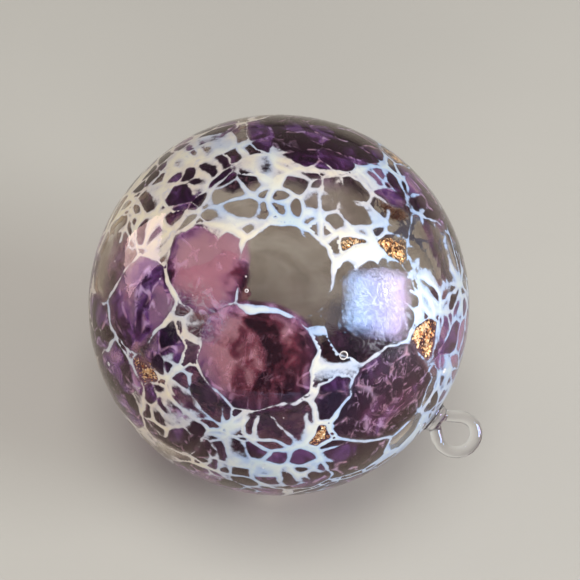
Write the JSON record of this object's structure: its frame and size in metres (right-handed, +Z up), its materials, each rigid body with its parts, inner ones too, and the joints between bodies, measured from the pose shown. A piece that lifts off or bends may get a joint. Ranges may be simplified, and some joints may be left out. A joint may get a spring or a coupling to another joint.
{
  "type": "blown glass ball ornament",
  "caption": "Hollow blown glass ball with a white net and amethyst and gold chips under a clear casing, and a clear glass hanging loop.",
  "frame": {"origin": "middle of the bounding box, on the surface that the ball lies on", "axes": "+Z up; +X towards the side where the neck and the hanging loop are, with the neck axis in the XZ plane, 22 degrees below +X"},
  "size_m": [0.121, 0.11, 0.11],
  "materials": {
    "clear_glass": "fire-polished, slight lustre",
    "white_glass": "opaque white frit melted into lines, under clear glass",
    "amethyst_glass": "streaky transparent purple frit, under clear glass",
    "aventurine_glass": "gold aventurine glitter, under clear glass"
  },
  "bodies": {
    "root": {"outer_casing": "clear_glass", "inner_bubble": "clear_glass", "white_web": "white_glass", "amethyst_chip_01": "amethyst_glass", "amethyst_chip_02": "amethyst_glass", "amethyst_chip_03": "amethyst_glass", "amethyst_chip_04": "amethyst_glass", "amethyst_chip_05": "amethyst_glass", "amethyst_chip_06": "amethyst_glass", "amethyst_chip_07": "amethyst_glass", "amethyst_chip_08": "amethyst_glass", "amethyst_chip_09": "amethyst_glass", "amethyst_chip_10": "amethyst_glass", "amethyst_chip_11": "amethyst_glass", "amethyst_chip_12": "amethyst_glass", "amethyst_chip_13": "amethyst_glass", "amethyst_chip_14": "amethyst_glass", "amethyst_chip_15": "amethyst_glass", "amethyst_chip_16": "amethyst_glass", "amethyst_chip_17": "amethyst_glass", "amethyst_chip_18": "amethyst_glass", "amethyst_chip_19": "amethyst_glass", "amethyst_chip_20": "amethyst_glass", "amethyst_chip_21": "amethyst_glass", "amethyst_chip_22": "amethyst_glass", "amethyst_chip_23": "amethyst_glass", "amethyst_chip_24": "amethyst_glass", "amethyst_chip_25": "amethyst_glass", "amethyst_chip_26": "amethyst_glass", "amethyst_chip_27": "amethyst_glass", "amethyst_chip_28": "amethyst_glass", "amethyst_chip_29": "amethyst_glass", "amethyst_chip_30": "amethyst_glass", "amethyst_chip_31": "amethyst_glass", "amethyst_chip_32": "amethyst_glass", "amethyst_chip_33": "amethyst_glass", "amethyst_chip_34": "amethyst_glass", "amethyst_chip_35": "amethyst_glass", "amethyst_chip_36": "amethyst_glass", "amethyst_chip_37": "amethyst_glass", "amethyst_chip_38": "amethyst_glass", "aventurine_chip_01": "aventurine_glass", "aventurine_chip_02": "aventurine_glass", "aventurine_chip_03": "aventurine_glass", "aventurine_chip_04": "aventurine_glass", "aventurine_chip_05": "aventurine_glass", "aventurine_chip_06": "aventurine_glass", "aventurine_chip_07": "aventurine_glass", "aventurine_chip_08": "aventurine_glass", "neck_seal": "clear_glass", "hang_loop": "clear_glass"}
  },
  "joints": []
}
